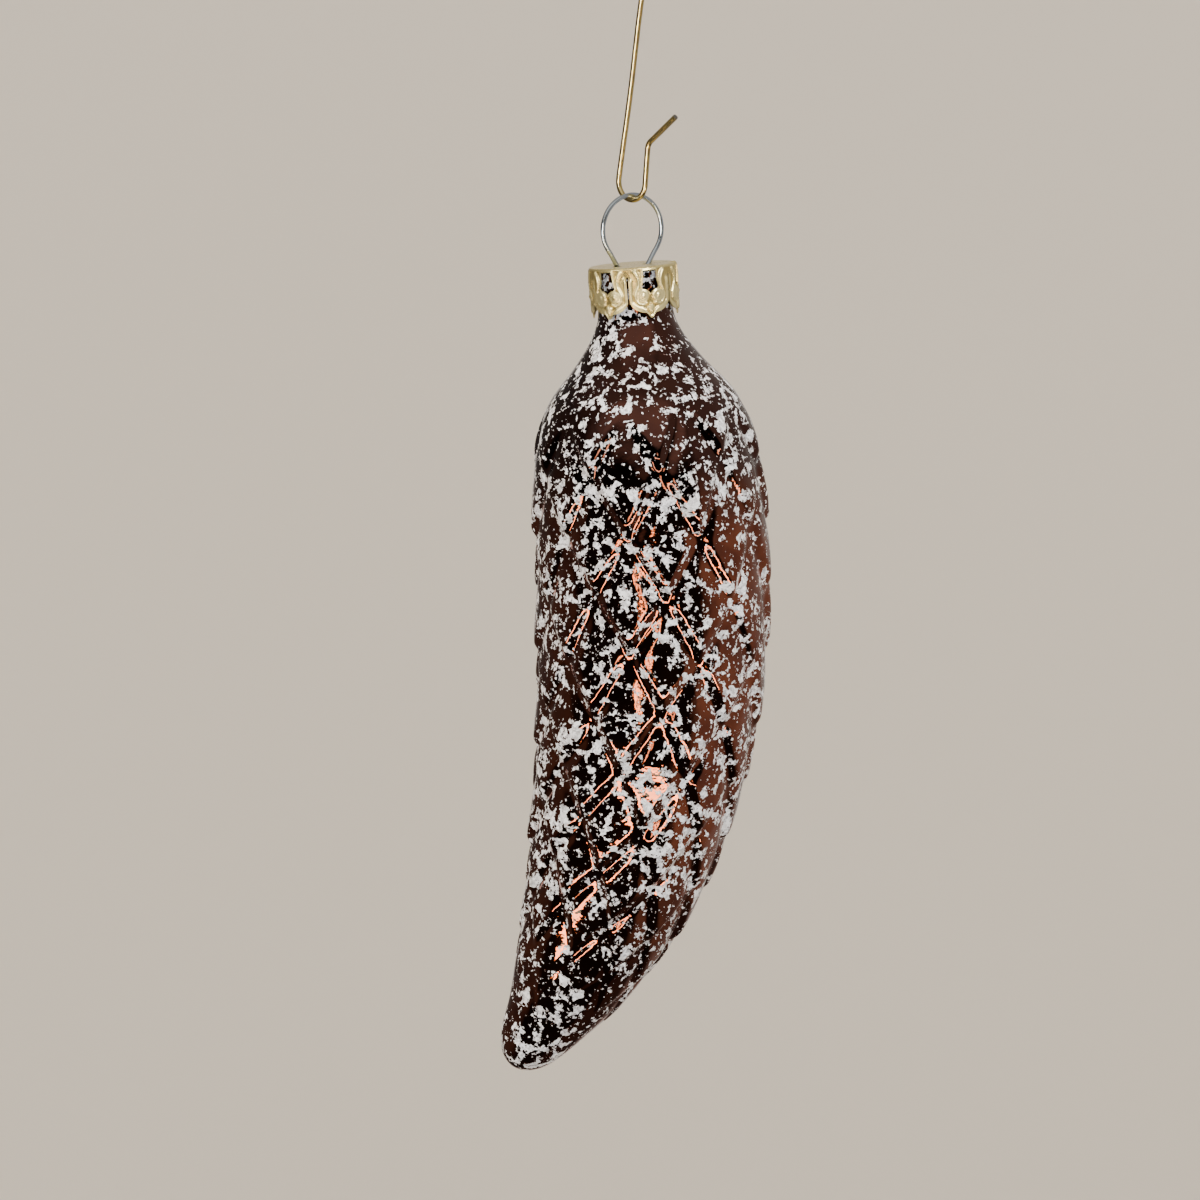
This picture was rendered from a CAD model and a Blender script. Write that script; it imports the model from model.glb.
"""The looks of the glass spruce cone ornament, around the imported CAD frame. Metres, +Z up, -Y the front."""

import math

import bmesh
import bpy
import numpy as np
from mathutils import Matrix, Vector, noise


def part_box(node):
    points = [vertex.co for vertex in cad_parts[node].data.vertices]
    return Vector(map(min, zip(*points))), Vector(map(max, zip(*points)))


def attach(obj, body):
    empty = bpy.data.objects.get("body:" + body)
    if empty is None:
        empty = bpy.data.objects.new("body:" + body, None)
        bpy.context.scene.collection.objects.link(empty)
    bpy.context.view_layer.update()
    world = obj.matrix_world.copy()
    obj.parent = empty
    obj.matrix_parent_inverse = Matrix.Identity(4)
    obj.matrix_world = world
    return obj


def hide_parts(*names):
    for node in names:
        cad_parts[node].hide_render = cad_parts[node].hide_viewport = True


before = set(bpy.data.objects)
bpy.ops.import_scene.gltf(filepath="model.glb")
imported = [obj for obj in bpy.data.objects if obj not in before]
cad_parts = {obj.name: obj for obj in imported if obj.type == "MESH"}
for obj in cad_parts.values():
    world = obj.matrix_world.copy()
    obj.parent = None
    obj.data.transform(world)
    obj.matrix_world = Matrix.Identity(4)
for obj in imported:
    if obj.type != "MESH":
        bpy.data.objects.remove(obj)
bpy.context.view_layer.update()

MM = 0.001

# Places taken from the frame.
hook_low, hook_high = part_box("hook")
loop_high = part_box("hanger_loop")[1]

# Hook, as in the CAD part, with small waves along its hand-bent shank.
HOOK_WIRE = 0.7 * MM
HOOK_HEIGHT = hook_high.z - hook_low.z
HOOK_TURN = math.radians(-42)
BRANCH_BOW_RADIUS = 4.5 * MM
RING_BOW_RADIUS = 2.2 * MM
BRANCH_TAIL_LENGTH = 5.0 * MM
BRANCH_TAIL_FLARE = math.radians(14)
SHORT_LEG_LENGTH = 4.5 * MM
SHORT_LEG_LEAN = math.radians(5)
TIP_BEND_RADIUS = 1.3 * MM
TIP_LEAN = math.radians(52)
TIP_LENGTH = 5.1 * MM
SHANK_WAVE = 0.06 * MM
SHANK_WAVE_SPACING = 3.1 * MM

# Hanger loop, as in the CAD part, lowered until it lies on the hook's small bow.
LOOP_WIRE = 0.6 * MM
LOOP_RADIUS = 4.3 * MM
LOOP_TURN = math.radians(32)
LOOP_LOWERED = 0.25 * MM
LEG_LEAN = math.radians(37)
LEG_BEND_RADIUS = 1.5 * MM
LEG_SPREAD = 2.5 * MM
LEG_TAIL_LENGTH = 4.0 * MM
LEG_CROSSING = 0.9 * MM
LEG_PARTING = 2.5 * MM
CUT_END_DOME = 0.12                 # height of a cut end's dome, as a share of the wire's radius

RING_BOW_BOTTOM = hook_low.z + HOOK_WIRE / 2
LOOP_TOP = loop_high.z - LOOP_WIRE / 2
CAP_TOP = RING_BOW_BOTTOM - 8.0 * MM
CAP_TILT = math.radians(4.2)

# Glass cone, as in the CAD part.
GLASS_WALL = 0.9 * MM
GLASS_TOP = 0.7 * MM
GLASS_LENGTH = 105.0 * MM
BEND_START = 25.0 * MM
BEND_TOTAL = math.radians(42)
BEND_POWER = 1.5
TIP_ROUNDING = 8.0 * MM
GLASS_RADII = [(0.7, 4.5), (4.6, 4.6), (6.3, 4.75), (7.4, 5.05), (9.2, 5.9), (12.2, 8.0), (16.3, 11.45),
               (20.4, 13.3), (26.5, 14.2), (34.7, 14.45), (46.9, 14.4), (59.2, 13.65), (71.4, 12.1),
               (81.6, 10.05), (91.8, 7.4), (98.9, 5.0), (106.0, 5.0)]
SCALES_ROUND = 10
SCALE_HEIGHT = 16.0 * MM
SCALE_HEIGHT_AT_TIP = 10.0 * MM
SCALES_START = 18.0 * MM
SCALES_TURN = math.radians(24)
LEFT_STEP = 0.62 * MM               # height of the step at a scale's lower left edge
LEFT_STEP_CHANGE = 0.08 * MM
RIGHT_STEP = 0.40 * MM
LEFT_LIP = 0.17                     # share of a scale over which its step falls
RIGHT_LIP = 0.19
RELIEF_SINK = 0.50 * MM             # the turned surface lies this far above the foot of the steps
RELIEF_FADE_IN = (16 * MM, 22 * MM)
RELIEF_FADE_OUT = (76 * MM, 100 * MM)
WOBBLE = 0.16 * MM
WALL_UNDER_SCALES = 0.4 * MM        # added to the wall below the neck
INNER_TIP = 2.5 * MM                # from the end of the hollow to the tip
INNER_TIP_ROUNDING = 9.5 * MM
GLASS_COLUMNS = 300
NECK_ROWS = 26
BODY_ROWS = 247
TIP_ROWS = 19
INNER_ROWS = 28

# Cap; the numbers without MM are millimetres on its side, beside a lobe's middle line or below the top.
CAP_RADIUS = 5.5 * MM
CAP_EDGE = 0.3 * MM
CAP_SHEET = 0.18 * MM
CAP_TAPER = 0.2 * MM
CAP_LOBES = 6
CAP_FIRST_LOBE = math.radians(-38)
CAP_HALF_LOBE = 5.5 * math.pi / CAP_LOBES
CAP_SLIT_TOP = 1.3
CAP_SLIT_HALF_WIDTH = 0.13
CAP_WIDEST = 3.8
CAP_SHOULDER = 5.75
CAP_POINT = 6.35
CAP_WINDOW = [(0.86, 0.45), (0.90, 1.5), (1.15, 2.55), (0.95, 2.75), (0.55, 2.85), (0.25, 3.05), (0.0, 3.35)]
CAP_STRAP = [(1.95, 0.55), (1.62, 1.1), (1.45, 1.7), (1.52, 2.4), (1.80, 2.95), (2.02, 3.5), (1.93, 4.1),
             (1.55, 4.55), (1.05, 4.68), (0.62, 4.45)]
CAP_COLUMNS = 396
LEG_HOLE_RADIUS = 0.62 * MM
BOSS_PLACE = (1.08, 3.62)
BOSS_RADIUS = 0.46
BOSS_RING_RADIUS = 0.72
BOSS_TOP = 0.34                     # height of the bosses and drops, the highest stamped parts
TOP_HOLLOW = 0.10 * MM
DENT_TURN = math.radians(78)        # where the top's edge is bent
DENT_WIDTH = 0.09
DENT_RISE = 0.13 * MM
DENT_WAVE = 0.16 * MM

CAP_MATRIX = Matrix.Translation((0, 0, CAP_TOP)) @ Matrix.Rotation(-CAP_TILT, 4, "Y")

# Stage.
STAGE_CENTRE = Vector((0, 0, CAP_TOP - 50 * MM))
ROOM_RADIUS = 1.15
LEDGE_RADIUS = 0.27
LEDGE_LOW = -0.211
LEDGE_HIGH = -0.187
CAMERA_DISTANCE = 0.80
CAMERA_PITCH = math.radians(7.2)
FRAME_WIDTH = 0.150
SENSOR_WIDTH = 36.0


def ease(value, low, high):
    """Rises smoothly from 0 at low to 1 at high, for numbers or arrays."""
    share = np.clip((value - low) / (high - low), 0.0, 1.0)
    return share * share * (3 - 2 * share)


# ---------------------------------------------------------------------------------------------- node helper


class Nodes:
    """Builds a shader network with short calls."""

    def __init__(self, name):
        self.material = bpy.data.materials.new(name)
        self.material.use_nodes = True
        self.tree = self.material.node_tree
        self.shader = self.tree.nodes["Principled BSDF"]

    def add(self, kind, **settings):
        made = self.tree.nodes.new(kind)
        for key, value in settings.items():
            setattr(made, key, value)
        return made

    def put(self, socket, value):
        """Links an output to a socket, or sets the socket's number."""
        if isinstance(value, bpy.types.NodeSocket):
            self.tree.links.new(value, socket)
        else:
            socket.default_value = value

    def math(self, operation, first, second=0.0):
        made = self.add("ShaderNodeMath", operation=operation)
        self.put(made.inputs[0], first)
        self.put(made.inputs[1], second)
        return made.outputs[0]

    def mix(self, share, first, second):
        """Blends two colours."""
        made = self.add("ShaderNodeMix", data_type="RGBA")
        self.put(made.inputs["Factor"], share)
        self.put(made.inputs["A"], first)
        self.put(made.inputs["B"], second)
        return made.outputs["Result"]

    def blend(self, share, first, second):
        """Blends two numbers."""
        made = self.add("ShaderNodeMix", data_type="FLOAT")
        self.put(made.inputs["Factor"], share)
        self.put(made.inputs["A"], first)
        self.put(made.inputs["B"], second)
        return made.outputs["Result"]

    def spread(self, value, low, high, to_low=0.0, to_high=1.0):
        """Goes evenly from to_low to to_high as the value goes from low to high, and stays there beyond."""
        made = self.add("ShaderNodeMapRange", clamp=True)
        self.put(made.inputs["Value"], value)
        self.put(made.inputs["From Min"], low)
        self.put(made.inputs["From Max"], high)
        self.put(made.inputs["To Min"], to_low)
        self.put(made.inputs["To Max"], to_high)
        return made.outputs["Result"]

    def noise(self, place, size, detail=2.0, roughness=0.5, distortion=0.0):
        """Noise whose largest features are about size metres across."""
        made = self.add("ShaderNodeTexNoise")
        self.put(made.inputs["Vector"], place)
        made.inputs["Scale"].default_value = 1 / size
        made.inputs["Detail"].default_value = detail
        made.inputs["Roughness"].default_value = roughness
        made.inputs["Distortion"].default_value = distortion
        return made.outputs["Fac"]

    def grains(self, place, size):
        """A random shade of grey for each grain, about size metres across."""
        made = self.add("ShaderNodeTexVoronoi")
        self.put(made.inputs["Vector"], place)
        made.inputs["Scale"].default_value = 1 / size
        split = self.add("ShaderNodeSeparateColor")
        self.put(split.inputs[0], made.outputs["Color"])
        return split.outputs["Red"]

    def place(self):
        """The place on the object, in metres, and its x, y and z."""
        whole = self.add("ShaderNodeTexCoord").outputs["Object"]
        axes = self.add("ShaderNodeSeparateXYZ")
        self.put(axes.inputs[0], whole)
        return whole, axes.outputs["X"], axes.outputs["Y"], axes.outputs["Z"]

    def bump(self, height, distance, normal=None):
        made = self.add("ShaderNodeBump")
        self.put(made.inputs["Height"], height)
        self.put(made.inputs["Distance"], distance)
        self.put(made.inputs["Strength"], 1.0)
        if normal is not None:
            self.put(made.inputs["Normal"], normal)
        return made.outputs["Normal"]

    def finish(self, **sockets):
        """Sets the shader's sockets by name, with spaces written as underscores."""
        for key, value in sockets.items():
            self.put(self.shader.inputs[key.replace("_", " ")], value)
        return self.material


# ---------------------------------------------------------------------------------------------- materials


def glass_material():
    """Silvered glass under brown lacquer, with torn patches of white frost and fine glitter on top."""
    n = Nodes("lacquer_and_frost")
    place, x, _, z = n.place()

    # The spray fell a little thinner on the left, the shoulder and the lower end, and thickest on the tip.
    left = n.spread(x, 0.0, -15 * MM, 0.0, -0.003)
    shoulder = n.spread(z, CAP_TOP - 26 * MM, CAP_TOP - 12 * MM, 0.0, -0.012)
    lower = n.spread(z, CAP_TOP - 70 * MM, CAP_TOP - 94 * MM, 0.0, -0.022)
    tip = n.spread(z, CAP_TOP - 95 * MM, CAP_TOP - 100 * MM, 0.0, 0.045)
    drift = n.spread(n.noise(place, 8 * MM, 1.0), 0.3, 0.7, -0.028, 0.028)
    ends = n.math("ADD", lower, n.math("ADD", tip, drift))
    density = n.math("ADD", n.math("ADD", left, shoulder), ends)

    patches = n.noise(place, 1.6 * MM, 4.0, 0.58, 0.45)
    crumbs = n.noise(place, 0.5 * MM, 3.0, 0.55, 0.2)
    torn = n.math("ADD", n.math("MULTIPLY", patches, 0.70), n.math("MULTIPLY", crumbs, 0.30))
    cut = n.math("SUBTRACT", 0.541, density)
    frost = n.spread(torn, cut, n.math("ADD", cut, 0.004))
    dots = n.spread(n.noise(place, 0.55 * MM, 2.0, 0.5), 0.655, 0.663)
    frost = n.math("MAXIMUM", frost, dots)

    fine = n.math("MULTIPLY", n.grains(place, 0.20 * MM), 0.4)
    coarse = n.math("MULTIPLY", n.grains(place, 0.42 * MM), 0.6)
    grain = n.math("ADD", fine, coarse)
    cloud = n.noise(place, 1.2 * MM, 3.0, 0.6)
    white = n.mix(n.spread(grain, 0.12, 0.72), (0.22, 0.21, 0.22, 1), (1.0, 0.99, 1.0, 1))
    white = n.mix(n.spread(cloud, 0.3, 0.7, 0.0, 0.45), white, (0.60, 0.55, 0.52, 1))

    lacquer_cloud = n.spread(n.noise(place, 4 * MM, 3.0, 0.6), 0.3, 0.7)
    lacquer = n.mix(lacquer_cloud, (0.20, 0.050, 0.027, 1), (0.42, 0.118, 0.054, 1))
    dark_shoulder = n.spread(z, CAP_TOP - 33 * MM, CAP_TOP - 24 * MM, 0.0, 0.85)
    lacquer = n.mix(dark_shoulder, lacquer, (0.06, 0.02, 0.015, 1))
    color = n.mix(frost, lacquer, white)
    metallic = n.math("SUBTRACT", 1.0, frost)
    lacquer_rough = n.spread(lacquer_cloud, 0.0, 1.0, 0.02, 0.05)
    rough = n.blend(frost, lacquer_rough, n.spread(grain, 0.0, 1.0, 0.35, 0.7))
    coat = n.spread(frost, 0.0, 1.0, 0.4, 0.08)

    thickness = n.math("MULTIPLY", frost, n.spread(grain, 0, 1, 0.75, 1.0))
    ripple = n.bump(n.noise(place, 1.3 * MM, 2.0, 0.5), 0.045 * MM)
    normal = n.bump(thickness, 0.09 * MM, ripple)
    return n.finish(Base_Color=color, Metallic=metallic, Roughness=rough, Normal=normal,
                    Coat_Weight=coat, Coat_Roughness=0.03, Coat_IOR=1.5)


def gold_sheet_material():
    """Pale gold stamped sheet, slightly cloudy, darker in the hollows."""
    n = Nodes("pale_gold_sheet")
    place = n.place()[0]
    cloud = n.noise(place, 1.6 * MM, 4.0, 0.6)
    fine = n.noise(place, 0.12 * MM, 3.0, 0.6)
    color = n.mix(cloud, (0.92, 0.75, 0.31, 1), (0.97, 0.85, 0.45, 1))
    raised = n.add("ShaderNodeAttribute", attribute_name="raised").outputs["Fac"]
    color = n.mix(n.spread(raised, 0.45, 0.0, 0.0, 0.75), color, (0.40, 0.28, 0.08, 1))
    rough = n.spread(n.math("ADD", cloud, n.math("MULTIPLY", fine, 0.4)), 0.4, 0.95, 0.24, 0.33)
    return n.finish(Base_Color=color, Metallic=0.88, Roughness=rough)


def gold_wire_material():
    """Gold-coloured wire, a little worn in patches."""
    n = Nodes("gold_wire_finish")
    place = n.place()[0]
    cloud = n.noise(place, 1.5 * MM, 5.0, 0.7)
    worn = n.spread(cloud, 0.52, 0.60)
    color = n.mix(worn, (0.78, 0.62, 0.27, 1), (0.56, 0.43, 0.19, 1))
    rough = n.spread(cloud, 0.35, 0.65, 0.21, 0.27)
    return n.finish(Base_Color=color, Metallic=1.0, Roughness=rough)


def cut_end_material():
    """The bare, dull end of a cut wire."""
    n = Nodes("cut_wire_end")
    place = n.place()[0]
    cloud = n.noise(place, 0.2 * MM, 3.0, 0.6)
    color = n.mix(cloud, (0.10, 0.09, 0.08, 1), (0.22, 0.20, 0.18, 1))
    return n.finish(Base_Color=color, Metallic=0.8, Roughness=n.spread(cloud, 0.3, 0.7, 0.4, 0.6))


def steel_wire_material():
    """Bright steel wire with a cool tint."""
    n = Nodes("steel_wire_finish")
    place = n.place()[0]
    cloud = n.noise(place, 2.5 * MM, 3.0, 0.5)
    color = n.mix(cloud, (0.52, 0.60, 0.68, 1), (0.68, 0.75, 0.82, 1))
    rough = n.spread(cloud, 0.35, 0.65, 0.19, 0.24)
    return n.finish(Base_Color=color, Metallic=1.0, Roughness=rough)


def backdrop_material():
    """Plain warm grey cloth."""
    n = Nodes("warm_grey_backdrop")
    place = n.place()[0]
    cloud = n.noise(place, 0.5, 3.0, 0.5)
    color = n.mix(cloud, (0.74, 0.69, 0.62, 1), (0.78, 0.73, 0.66, 1))
    return n.finish(Base_Color=color, Roughness=0.95, Specular_IOR_Level=0.1)


# ---------------------------------------------------------------------------------------------- glass cone


def glass_radius(down):
    """The cone's radius below the cap's top: a smooth curve through GLASS_RADII, with a round tip."""
    places = np.array([place * MM for place, _ in GLASS_RADII])
    radii = np.array([radius * MM for _, radius in GLASS_RADII])
    slopes = np.gradient(radii, places)
    slopes[1:-1] = (radii[2:] - radii[:-2]) / (places[2:] - places[:-2])
    index = np.clip(np.searchsorted(places, down, side="right") - 1, 0, len(places) - 2)
    length = places[index + 1] - places[index]
    share = np.clip((down - places[index]) / length, 0, 1)
    square, cube = share ** 2, share ** 3
    radius = ((2 * cube - 3 * square + 1) * radii[index]
              + (cube - 2 * square + share) * length * slopes[index]
              + (3 * square - 2 * cube) * radii[index + 1]
              + (cube - square) * length * slopes[index + 1])
    into_tip = np.clip((down - (GLASS_LENGTH - TIP_ROUNDING)) / TIP_ROUNDING, 0, 1)
    return radius * np.sqrt(1 - into_tip ** 2)


def axis_places(down):
    """Places (x, z) on the bent axis and its turn, at distances below the cap's top."""
    steps = np.linspace(0, GLASS_LENGTH, 2001)
    share = np.clip(steps - BEND_START, 0, None) / (GLASS_LENGTH - BEND_START)
    turns = -BEND_TOTAL * share ** BEND_POWER
    middle = (turns[1:] + turns[:-1]) / 2
    step = steps[1]
    x = np.concatenate([[0], np.cumsum(np.sin(middle)) * step])
    z = -np.concatenate([[0], np.cumsum(np.cos(middle)) * step])
    return np.interp(down, steps, x), np.interp(down, steps, z), np.interp(down, steps, turns)


def scale_row(down):
    """Counts scale heights below SCALES_START; the scales get shorter towards the tip."""
    length = GLASS_LENGTH - SCALES_START
    share = (down - SCALES_START) / length
    shrink = 1 - SCALE_HEIGHT_AT_TIP / SCALE_HEIGHT
    return length / SCALE_HEIGHT * (share + shrink * np.clip(share, 0, None) ** 3 / 2)


def lip(share, width):
    """Rises along a scale from 0, and steps down again at its lower edge."""
    return np.where(share < 1 - width, share / (1 - width), 1 - ease(share, 1 - width, 1))


def relief(down, angle):
    """Height of the scales above the turned surface: steps along two crossing, slightly wavy spirals."""
    column = (angle - SCALES_TURN) / (2 * math.pi / SCALES_ROUND)
    row = scale_row(down)
    row = row + 0.05 * np.sin(2 * angle + 1.3) + 0.04 * np.sin(3 * angle - 2.2 * row)
    right = (row + column) % 1
    left = (row - column) % 1
    along_left = ease(right, 0.0, 0.2) * (1 - ease(right, 0.82, 1.0))
    along_right = ease(left, 0.0, 0.3) * (1 - ease(left, 0.75, 1.0))
    left_step = LEFT_STEP + LEFT_STEP_CHANGE * np.sin(4 * angle + 1.7 * row)
    rise = left_step * lip(left, LEFT_LIP) * (0.35 + 0.65 * along_left)
    rise += RIGHT_STEP * lip(right, RIGHT_LIP) * (0.35 + 0.65 * along_right)
    return (rise - RELIEF_SINK) * ease(down, *RELIEF_FADE_IN) * (1 - ease(down, *RELIEF_FADE_OUT))


def add_object(name, data):
    """Puts a mesh, light or camera into the scene."""
    made = bpy.data.objects.new(name, data)
    bpy.context.scene.collection.objects.link(made)
    return made


def ring_grid_object(name, points):
    """Makes a mesh from rows of points, each row a closed ring."""
    rows, columns = points.shape[:2]
    index = np.arange(rows * columns).reshape(rows, columns)
    right = np.roll(index, -1, axis=1)
    faces = np.stack([index[:-1], right[:-1], right[1:], index[1:]], axis=-1)
    mesh = bpy.data.meshes.new(name)
    mesh.from_pydata(points.reshape(-1, 3).tolist(), [], faces.reshape(-1, 4).tolist())
    return add_object(name, mesh)


def weld(mesh):
    """Joins the points of a mesh that lie in the same place."""
    work = bmesh.new()
    work.from_mesh(mesh)
    bmesh.ops.remove_doubles(work, verts=work.verts, dist=1e-7)
    work.to_mesh(mesh)
    work.free()


def round_places(down, radius, angle):
    """Places round the bent axis, at distances below the cap's top."""
    centre_x, centre_z, turn = axis_places(down)
    across = radius * np.sin(angle)
    x = centre_x + across * np.cos(turn)
    y = -radius * np.cos(angle)
    z = centre_z + across * np.sin(turn)
    return np.stack((x, y, z), axis=-1)


def make_glass():
    """The cone as one closed shell: up the inner wall, over the neck's rim and down the outside."""
    neck = np.linspace(GLASS_TOP, 14 * MM, NECK_ROWS)[:-1]
    middle = np.linspace(14 * MM, GLASS_LENGTH - TIP_ROUNDING, BODY_ROWS)
    tip = GLASS_LENGTH - TIP_ROUNDING + TIP_ROUNDING * np.sin(np.linspace(0, math.pi / 2, TIP_ROWS)[1:])
    down = np.concatenate([neck, middle, tip])[:, None]
    angle = np.linspace(0, 2 * math.pi, GLASS_COLUMNS, endpoint=False)[None, :]
    radius = glass_radius(down) + relief(down, angle)
    radius[-1] = 0
    outside = round_places(down, radius, angle)
    wobble = [noise.noise(Vector(p) / (9 * MM)) + 0.22 * noise.noise(Vector(p) / (2.2 * MM))
              for p in outside.reshape(-1, 3)]
    wobble = WOBBLE * np.reshape(wobble, radius.shape)
    wobble = wobble * ease(down, 16 * MM, 30 * MM) * ease(radius, 0, 2 * MM)
    outside = round_places(down, radius + wobble, angle)

    inner_end = GLASS_LENGTH - INNER_TIP
    inner_down = np.linspace(inner_end, GLASS_TOP, INNER_ROWS)[:, None]
    wall = GLASS_WALL + WALL_UNDER_SCALES * ease(inner_down, 8 * MM, 20 * MM)
    into_tip = np.clip((inner_down - inner_end + INNER_TIP_ROUNDING) / INNER_TIP_ROUNDING, 0, 1)
    inner_radius = (glass_radius(inner_down) - wall) * np.sqrt(1 - into_tip ** 2)
    within = round_places(inner_down, inner_radius * np.ones_like(angle), angle)

    points = np.concatenate([within, outside])
    body = ring_grid_object("glass_cone", points[:, ::-1])
    body.data.transform(CAP_MATRIX)
    weld(body.data)
    body.data.shade_smooth()
    body.data.set_sharp_from_angle(angle=math.radians(60))
    body.data.materials.append(glass_material())
    return body


# ---------------------------------------------------------------------------------------------- stamped cap


def to_lines(u, v, points):
    """Distances from places (u, v) to a chain of straight lines."""
    nearest = np.full(np.shape(u), 1e9)
    for (u0, v0), (u1, v1) in zip(points, points[1:]):
        du, dv = u1 - u0, v1 - v0
        share = np.clip(((u - u0) * du + (v - v0) * dv) / (du * du + dv * dv), 0, 1)
        nearest = np.minimum(nearest, np.hypot(u - u0 - share * du, v - v0 - share * dv))
    return nearest


def inside(u, v, points):
    """True where places (u, v) lie within a closed outline."""
    found = np.zeros(np.shape(u), bool)
    for (u0, v0), (u1, v1) in zip(points, points[1:] + points[:1]):
        crosses = (v0 > v) != (v1 > v)
        found ^= crosses & (u < u0 + (u1 - u0) * (v - v0) / (v1 - v0 if v1 != v0 else 1))
    return found


def ridge(distance, half_width):
    """A round-backed ridge, 1 on its line and 0 from its half width on."""
    share = np.clip(distance / half_width, 0, 1)
    return (1 - share * share) ** 2


def lobe_edge_depth(u):
    """Depth of the lobe's lower edge, u mm beside its middle line."""
    side = np.abs(u)
    bow = CAP_WIDEST + (CAP_SHOULDER - CAP_WIDEST) * np.sqrt(np.clip(1 - (side / CAP_HALF_LOBE) ** 2.4, 0, 1))
    return np.maximum(bow, CAP_POINT - 1.25 * np.clip(side, 0.12, None) + 0.15)


def stamped_side(angle, down):
    """The side of the cap at angles and depths in mm: (distance inside the sheet's edge, height of relief).

    One lobe repeats round the cap. In it, u is the place beside the lobe's middle line.
    """
    pitch = 2 * math.pi / CAP_LOBES
    middle = CAP_FIRST_LOBE + pitch * np.round((angle - CAP_FIRST_LOBE) / pitch)
    u, down = np.broadcast_arrays((angle - middle) * CAP_RADIUS / MM, down)
    side = np.abs(u)
    to_slit_top = np.hypot(CAP_HALF_LOBE - side, CAP_SLIT_TOP - down)
    to_slit = np.where(down < CAP_SLIT_TOP, to_slit_top, CAP_HALF_LOBE - side) - CAP_SLIT_HALF_WIDTH
    to_edge = (lobe_edge_depth(u) - down) * (0.55 + 0.45 * ease(side, 1.2, 0.2))
    outer = np.minimum(to_slit, to_edge)
    window = CAP_WINDOW + [(-across, depth) for across, depth in reversed(CAP_WINDOW[:-1])]
    to_window = to_lines(u, down, window + window[:1]) * np.where(inside(u, down, window), -1, 1)
    level = np.minimum(outer, to_window)

    border = ridge(outer - 0.24, 0.24) * ease(down, 1.0, 1.8)
    strap = ridge(to_lines(side, down, CAP_STRAP), 0.30 + 0.12 * ease(down, 2.2, 0.8))
    window_rim = ridge(to_window - 0.12, 0.13)
    to_boss = np.hypot(side - BOSS_PLACE[0], down - BOSS_PLACE[1])
    boss = np.sqrt(np.clip(1 - (to_boss / BOSS_RADIUS) ** 2, 0, 1))
    boss_ring = ridge(to_boss - BOSS_RING_RADIUS, 0.19)
    drop_width = 0.50 * ease(down, 4.35, 5.0) * (1 - ease(down, 5.1, 6.25))
    drop = np.sqrt(np.clip(1 - (side / np.maximum(drop_width, 1e-6)) ** 2, 0, 1))
    drop = drop * ease(drop_width, 0.0, 0.3)
    shapes = (0.14 * border, 0.26 * strap, 0.14 * window_rim, 0.24 * boss_ring, BOSS_TOP * boss,
              BOSS_TOP * drop)
    return level, np.maximum.reduce(np.broadcast_arrays(*shapes))


def cut_sheet(name, places, level, skin):
    """Keeps the part of a ring grid where level is above 0, and closes its edges.

    For each point, places holds where it lies on the outer face and on the inner face, and how raised it is.
    """
    rows, columns = level.shape
    verts = []
    known = {}

    def corner(i, j):
        if (i, j) not in known:
            known[i, j] = len(verts)
            verts.append(places[i, j])
        return known[i, j]

    def crossing(a, b):
        key = (a, b) if a < b else (b, a)
        if key not in known:
            (ai, aj), (bi, bj) = key
            share = level[ai, aj] / (level[ai, aj] - level[bi, bj])
            share = min(max(share, 0.03), 0.97)
            known[key] = len(verts)
            verts.append(places[ai, aj] * (1 - share) + places[bi, bj] * share)
        return known[key]

    faces = []
    for i in range(rows - 1):
        for j in range(columns):
            k = (j + 1) % columns
            cell = [(i, j), (i + 1, j), (i + 1, k), (i, k)]
            kept = [level[c] > 0 for c in cell]
            face = []
            for a, b, keep, next_keep in zip(cell, cell[1:] + cell[:1], kept, kept[1:] + kept[:1]):
                if keep:
                    face.append(corner(*a))
                if keep != next_keep:
                    face.append(crossing(a, b))
            if len(face) > 2:
                faces.append(face)
    count = len(verts)
    edges = {(a, b) for face in faces for a, b in zip(face, face[1:] + face[:1])}
    rim = [[b, a, a + count, b + count] for a, b in sorted(edges) if (b, a) not in edges]
    back = [[v + count for v in reversed(face)] for face in faces]
    verts = np.array(verts)
    mesh = bpy.data.meshes.new(name)
    mesh.from_pydata(np.concatenate([verts[:, :3], verts[:, 3:6]]).tolist(), [], faces + rim + back)
    raised = mesh.attributes.new("raised", "FLOAT", "POINT")
    raised.data.foreach_set("value", np.tile(verts[:, 6], 2))
    weld(mesh)
    mesh.shade_smooth()
    mesh.set_sharp_from_angle(angle=math.radians(48))
    mesh.materials.append(skin)
    return add_object(name, mesh)


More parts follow.
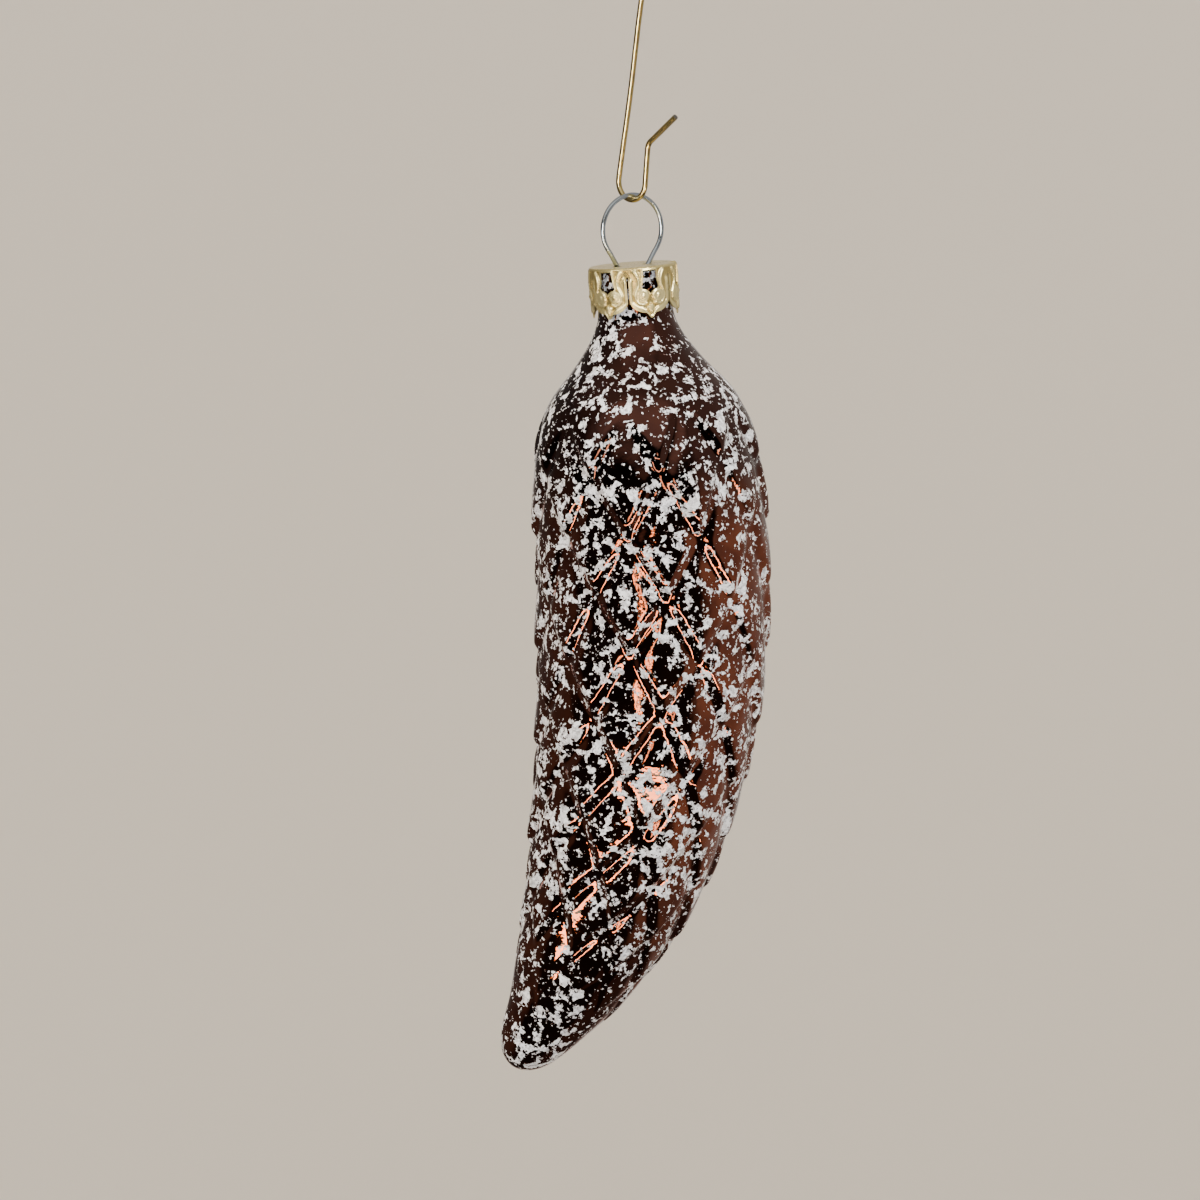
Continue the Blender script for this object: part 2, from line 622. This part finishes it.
def make_cap():
    """A thin stamped crown: a flat top with a turned-down edge and a pierced, embossed side."""
    angle = np.linspace(0, 2 * math.pi, CAP_COLUMNS, endpoint=False)[None, :]
    corner = CAP_RADIUS - CAP_EDGE
    flat = [[0, 0.12, 0.6, 1.0], np.linspace(1.25, 3.0, 16), np.linspace(3.3, corner / MM, 9)]
    flat = np.concatenate(flat) * MM
    turn = np.linspace(0, math.pi / 2, 9)[1:]
    fall = np.linspace(CAP_EDGE / MM, CAP_POINT + 0.2, 68)[1:] * MM
    radius = np.concatenate([flat, corner + CAP_EDGE * np.sin(turn), np.full(len(fall), CAP_RADIUS)])[:, None]
    down = np.concatenate([0 * flat, CAP_EDGE * (1 - np.cos(turn)), fall])[:, None]
    lean = np.concatenate([0 * flat, turn, np.full(len(fall), math.pi / 2)])[:, None]
    radius = radius - CAP_TAPER * ease(down, 1.5 * MM, 6.5 * MM)

    level, height = stamped_side(angle, down / MM)
    side = ease(down, 0.2 * MM, 0.45 * MM)
    height = height * side * MM
    level = np.where(down < 0.3 * MM, 1.0, level)
    above_cap = LOOP_TOP - LOOP_RADIUS * (1 + math.sin(LEG_LEAN)) - CAP_TOP
    reach = LOOP_RADIUS * math.cos(LEG_LEAN) - above_cap * math.tan(LEG_LEAN)
    for way in (-1, 1):
        hole = Vector((way * reach, -way * LEG_CROSSING / 2 * float(ease(above_cap, 0, LEG_PARTING))))
        hole.rotate(Matrix.Rotation(LOOP_TURN, 2))
        to_hole = np.hypot(radius * np.sin(angle) - hole.x, -radius * np.cos(angle) - hole.y)
        level = np.where(down < 0.05 * MM, np.minimum(level, (to_hole - LEG_HOLE_RADIUS) / MM), level)

    dent = np.exp(-((angle - DENT_TURN) / DENT_WIDTH) ** 2) * ease(radius, 4.2 * MM, 5.4 * MM)
    dent = dent * (1 - ease(down, 0.3 * MM, 1.2 * MM))
    hollow = TOP_HOLLOW * np.exp(-(radius / (3.4 * MM)) ** 2) * (1 - ease(down, 0, 0.2 * MM))
    push = height + DENT_WAVE * dent * np.sin((angle - DENT_TURN) * 24)
    outer_r = radius + push * np.sin(lean) - 0.10 * MM * side
    outer_z = -down + push * np.cos(lean) - hollow + DENT_RISE * dent
    inner_r = outer_r - CAP_SHEET * np.sin(lean)
    inner_z = outer_z - CAP_SHEET * np.cos(lean)
    parts = []
    for r, z in ((outer_r, outer_z), (np.maximum(inner_r, 0), inner_z)):
        parts += [r * np.sin(angle), -r * np.cos(angle), z * np.ones_like(angle)]
    parts.append(np.where(side > 0.5, height / (BOSS_TOP * MM), 0.25))
    cap = cut_sheet("stamped_cap", np.stack(parts, axis=-1), level, gold_sheet_material())
    cap.data.transform(CAP_MATRIX)
    return cap


# ---------------------------------------------------------------------------------------------- wires


class WireBender:
    """Follows a wire in a plane through straight runs and round bends."""

    step = math.radians(5)

    def __init__(self, place, heading):
        self.points = [Vector(place)]
        self.heading = heading

    def run(self, length):
        pieces = max(1, round(length / (0.5 * MM)))
        start = self.points[-1]
        direction = Vector((math.cos(self.heading), math.sin(self.heading)))
        for piece in range(1, pieces + 1):
            self.points.append(start + direction * length * piece / pieces)

    def bend(self, radius, angle):
        """Bends to the left for a positive angle, and returns the bend's centre."""
        side = math.copysign(1, angle)
        to_the_left = Vector((-math.sin(self.heading), math.cos(self.heading)))
        centre = self.points[-1] + side * radius * to_the_left
        pieces = max(4, math.ceil(abs(angle) / self.step))
        for _ in range(pieces):
            self.heading += angle / pieces
            outward = Vector((math.sin(self.heading), -math.cos(self.heading)))
            self.points.append(centre + side * radius * outward)
        return centre


def tube(name, points, radius, skin, end_skin, sides=20):
    """A round wire along 3-D points, with slightly domed cut ends."""
    work = bmesh.new()
    rings = []
    normal = None
    count = len(points)
    places = [(points[0], 0.0)] + [(p, 1.0) for p in points] + [(points[-1], 0.0)]
    for number, (place, scale) in enumerate(places):
        i = min(max(number - 1, 0), count - 1)
        ahead = points[min(i + 1, count - 1)] - points[max(i - 1, 0)]
        ahead.normalize()
        if normal is None:
            normal = ahead.orthogonal().normalized()
        normal = (normal - ahead * normal.dot(ahead)).normalized()
        side = ahead.cross(normal)
        if scale == 0:
            outward = -ahead if number == 0 else ahead
            rings.append([work.verts.new(place + outward * radius * CUT_END_DOME)])
            continue
        ring = []
        for k in range(sides):
            a = 2 * math.pi * k / sides
            ring.append(work.verts.new(place + radius * (normal * math.cos(a) + side * math.sin(a))))
        rings.append(ring)
    for first, second in zip(rings, rings[1:]):
        for k in range(sides):
            if len(first) == 1:
                face = work.faces.new((first[0], second[(k + 1) % sides], second[k]))
                face.material_index = 1
            elif len(second) == 1:
                face = work.faces.new((second[0], first[k], first[(k + 1) % sides]))
                face.material_index = 1
            else:
                following = (k + 1) % sides
                face = work.faces.new((first[k], first[following], second[following], second[k]))
            face.smooth = True
    bmesh.ops.recalc_face_normals(work, faces=work.faces)
    mesh = bpy.data.meshes.new(name)
    work.to_mesh(mesh)
    work.free()
    mesh.set_sharp_from_angle(angle=math.radians(50))
    mesh.materials.append(skin)
    mesh.materials.append(end_skin)
    return add_object(name, mesh)


def make_hook(end_skin):
    """The hook's wire, with small hand-bent waves along its shank."""
    bows_apart = HOOK_HEIGHT - HOOK_WIRE - BRANCH_BOW_RADIUS - RING_BOW_RADIUS
    shank_lean = math.asin((BRANCH_BOW_RADIUS + RING_BOW_RADIUS) / bows_apart)
    shank_length = (BRANCH_BOW_RADIUS + RING_BOW_RADIUS) / math.tan(shank_lean)
    wire = WireBender((0, 0), math.pi / 2 - BRANCH_TAIL_FLARE)
    wire.run(BRANCH_TAIL_LENGTH)
    centre = wire.bend(BRANCH_BOW_RADIUS, BRANCH_TAIL_FLARE - math.pi - shank_lean)
    wire.run(shank_length)
    wire.bend(RING_BOW_RADIUS, math.pi + shank_lean - SHORT_LEG_LEAN)
    wire.run(SHORT_LEG_LENGTH)
    wire.bend(TIP_BEND_RADIUS, SHORT_LEG_LEAN - TIP_LEAN)
    wire.run(TIP_LENGTH)
    bow_top = centre + Vector((0, BRANCH_BOW_RADIUS - HOOK_WIRE / 2))
    plane = Matrix.Rotation(HOOK_TURN, 4, "Z")
    points = []
    for point in wire.points:
        across, height = point - bow_top
        wave = SHANK_WAVE * math.sin(height / SHANK_WAVE_SPACING) * ease(-height, 8 * MM, 16 * MM)
        points.append(plane @ Vector((across + wave, 0, height)))
    return tube("wire_hook", points, HOOK_WIRE / 2, gold_wire_material(), end_skin)


def make_loop(end_skin):
    """The spring wire: a round loop above the cap and two crossing legs inside the neck."""
    foot_reach = LOOP_RADIUS * math.cos(LEG_LEAN) + LEG_SPREAD
    bends_reach = 2 * LEG_BEND_RADIUS * math.sin(LEG_LEAN / 2) ** 2
    leg_length = (foot_reach - bends_reach) / math.sin(LEG_LEAN)
    wire = WireBender((-LEG_SPREAD, 0), math.pi / 2)
    wire.run(LEG_TAIL_LENGTH)
    wire.bend(LEG_BEND_RADIUS, -LEG_LEAN)
    wire.run(leg_length)
    centre = wire.bend(LOOP_RADIUS, math.pi + 2 * LEG_LEAN)
    wire.run(leg_length)
    wire.bend(LEG_BEND_RADIUS, -LEG_LEAN)
    wire.run(LEG_TAIL_LENGTH)
    legs_start = centre.y - LOOP_RADIUS * math.sin(LEG_LEAN)
    plane = Matrix.Rotation(LOOP_TURN, 4, "Z")
    points = []
    for count, (across, height) in enumerate(wire.points):
        side = -1 if count < len(wire.points) / 2 else 1
        sideways = side * LEG_CROSSING / 2 * float(ease(legs_start - height, 0, LEG_PARTING))
        place = Vector((across, sideways, height - centre.y - LOOP_RADIUS + LOOP_TOP - LOOP_LOWERED))
        points.append(plane @ place)
    return tube("wire_loop", points, LOOP_WIRE / 2, steel_wire_material(), end_skin)


# ---------------------------------------------------------------------------------------------- stage


def make_stage():
    """A round cove that the object hangs in: pale floor, pale wall."""
    radius, corner, floor_z, top_z = 1.6, 0.35, -1.35, 1.4
    profile = [(0.0, floor_z), (radius - corner, floor_z)]
    for step in range(1, 13):
        a = math.pi / 2 * step / 12
        profile.append((radius - corner + corner * math.sin(a), floor_z + corner * (1 - math.cos(a))))
    profile += [(radius, top_z), (radius * 0.8, top_z + 0.25), (0.0, top_z + 0.35)]
    mesh = bpy.data.meshes.new("cove")
    mesh.from_pydata([(r, 0, z) for r, z in profile], [(i, i + 1) for i in range(len(profile) - 1)], [])
    cove = add_object("cove", mesh)
    screw = cove.modifiers.new("turn", "SCREW")
    screw.steps = 96
    screw.render_steps = 96
    screw.use_merge_vertices = True
    screw.merge_threshold = 0.0001
    mesh.materials.append(backdrop_material())


def mirrored_only(glow):
    """Keeps a glowing stage object out of sight and out of the soft light, so that only mirrors show it."""
    glow.visible_camera = False
    glow.visible_diffuse = False
    glow.visible_shadow = False


def make_room():
    """The dim room that the glass and the metal mirror, with a lamp behind the camera.

    Directions in it are an azimuth in degrees from the front towards +X, and an elevation in degrees.
    """
    work = bmesh.new()
    bmesh.ops.create_uvsphere(work, u_segments=64, v_segments=32, radius=1.0)
    bmesh.ops.reverse_faces(work, faces=work.faces)
    mesh = bpy.data.meshes.new("mirrored_room")
    work.to_mesh(mesh)
    work.free()
    room = add_object("mirrored_room", mesh)
    room.location = STAGE_CENTRE
    room.scale = (ROOM_RADIUS, ROOM_RADIUS, ROOM_RADIUS)
    n = Nodes("mirrored_room_glow")
    place, x, y, z = n.place()
    azimuth = n.math("DEGREES", n.math("ARCTAN2", x, n.math("MULTIPLY", y, -1.0)))
    height = n.math("DEGREES", n.math("ARCSINE", z))

    def within(value, low, high, soft):
        rise = n.spread(value, low - soft, low + soft)
        return n.math("MULTIPLY", rise, n.spread(value, high + soft, high - soft))

    right = n.math("MULTIPLY", within(azimuth, 53, 162, 6), 0.36)
    left = n.math("MULTIPLY", within(azimuth, -162, -74, 6), 0.095)
    back = n.math("MULTIPLY", n.spread(n.math("ABSOLUTE", azimuth), 154, 168), 0.60)
    ahead = n.math("MULTIPLY", within(azimuth, -62, 52, 16), n.spread(height, 17, 34, 0.0, 0.8))
    ahead = n.math("MULTIPLY", ahead, n.spread(height, 55, 75, 1.0, 0.35))
    above = n.math("MAXIMUM", n.spread(height, 20, 55, 0.0, 0.3), ahead)
    level = n.math("MAXIMUM", n.math("MAXIMUM", right, left), n.math("MAXIMUM", back, above))
    level = n.math("MULTIPLY", level, n.spread(height, -48, -25, 0.12, 1.0))
    lamp = n.math("MULTIPLY", within(azimuth, -8, 6, 1), within(height, -6, 7, 1))
    lamp = n.math("MULTIPLY", lamp, n.spread(n.noise(place, 0.05, 3.0), 0.48, 0.52))
    warm = n.math("MULTIPLY", lamp, 16.0)
    level = n.math("ADD", level, 0.014)
    color = n.mix(n.math("MINIMUM", warm, 1.0), (1.0, 0.93, 0.85, 1), (1.0, 0.78, 0.52, 1))
    n.finish(Base_Color=(0, 0, 0, 1), Roughness=1.0, Specular_IOR_Level=0.0,
             Emission_Color=color, Emission_Strength=n.math("MAXIMUM", level, warm))
    mesh.materials.append(n.material)
    mirrored_only(room)


def make_ledge():
    """A bright low strip in front, seen only as a mirror image: the glowing outlines on the scales."""
    angles = [math.radians(a) for a in np.linspace(-52, 46, 50)]
    verts = [(LEDGE_RADIUS * math.sin(a), -LEDGE_RADIUS * math.cos(a), z)
             for z in (LEDGE_LOW, LEDGE_HIGH) for a in angles]
    count = len(angles)
    faces = [(i, i + count, i + count + 1, i + 1) for i in range(count - 1)]
    mesh = bpy.data.meshes.new("bright_ledge")
    mesh.from_pydata(verts, [], faces)
    ledge = add_object("bright_ledge", mesh)
    n = Nodes("bright_ledge_glow")
    n.finish(Base_Color=(0, 0, 0, 1), Roughness=1.0, Specular_IOR_Level=0.0,
             Emission_Color=(1.0, 0.80, 0.55, 1), Emission_Strength=18.0)
    mesh.materials.append(n.material)
    mirrored_only(ledge)


def area_light(name, place, size, power, color, only=None):
    """A soft light on the object's middle; with only, it lights those pieces alone, and they mirror it."""
    data = bpy.data.lights.new(name, "AREA")
    data.shape = "RECTANGLE"
    data.size, data.size_y = size
    data.energy = power
    data.color = color
    light = add_object(name, data)
    light.location = place
    light.rotation_euler = (STAGE_CENTRE - Vector(place)).to_track_quat("-Z", "Y").to_euler()
    light.visible_camera = False
    light.visible_glossy = only is not None
    if only:
        lit = bpy.data.collections.new(name)
        for piece in only:
            lit.objects.link(piece)
        light.light_linking.receiver_collection = lit


def make_lights(wires, cap):
    """Soft lights for the frost and the cloth, and small ones that only the wires or the cap mirror."""
    area_light("key", (0.43, -0.62, 0.62), (0.3, 0.3), 9, (1.0, 0.97, 0.93))
    area_light("side", (-0.75, -0.42, 0.38), (0.3, 0.3), 8, (1.0, 0.86, 0.70))
    area_light("front", (0.0, -1.0, 0.1), (0.6, 0.4), 9, (0.72, 0.85, 1.0))
    area_light("top", (0.0, 0.3, 1.2), (1.2, 1.2), 21, (1.0, 0.98, 0.95))
    area_light("wire_glint", (-0.34, -0.72, -0.15), (0.10, 0.5), 6.0, (1.0, 0.97, 0.92), wires)
    area_light("cap_glint", (0.42, -0.66, 0.22), (0.26, 0.26), 5.5, (1.0, 0.99, 0.95), [cap])
    area_light("cap_fill", (-0.52, -0.58, 0.02), (0.25, 0.25), 2.5, (1.0, 0.96, 0.86), [cap])


def make_camera():
    """A long lens, a little above the object, that cuts off the top of the hook."""
    target = Vector((-4.0 * MM, 0, RING_BOW_BOTTOM - 50 * MM))
    data = bpy.data.cameras.new("camera")
    data.sensor_width = SENSOR_WIDTH
    data.lens = SENSOR_WIDTH * CAMERA_DISTANCE / FRAME_WIDTH
    data.clip_start = 0.01
    camera = add_object("camera", data)
    backwards = Vector((0, -math.cos(CAMERA_PITCH), math.sin(CAMERA_PITCH)))
    camera.location = target + CAMERA_DISTANCE * backwards
    camera.rotation_euler = (math.pi / 2 - CAMERA_PITCH, 0, 0)
    bpy.context.scene.camera = camera


# ---------------------------------------------------------------------------------------------- put together

end_skin = cut_end_material()
glass = make_glass()
hook = make_hook(end_skin)
loop = make_loop(end_skin)
cap = make_cap()
for piece, node, slot in ((glass, "glass_body", "lacquered_glass"), (hook, "hook", "gold_wire"),
                          (loop, "hanger_loop", "steel_wire"), (cap, "cap", "stamped_gold")):
    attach(piece, "root")
    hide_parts(node)

make_stage()
make_room()
make_ledge()
make_lights([hook, loop], cap)
make_camera()
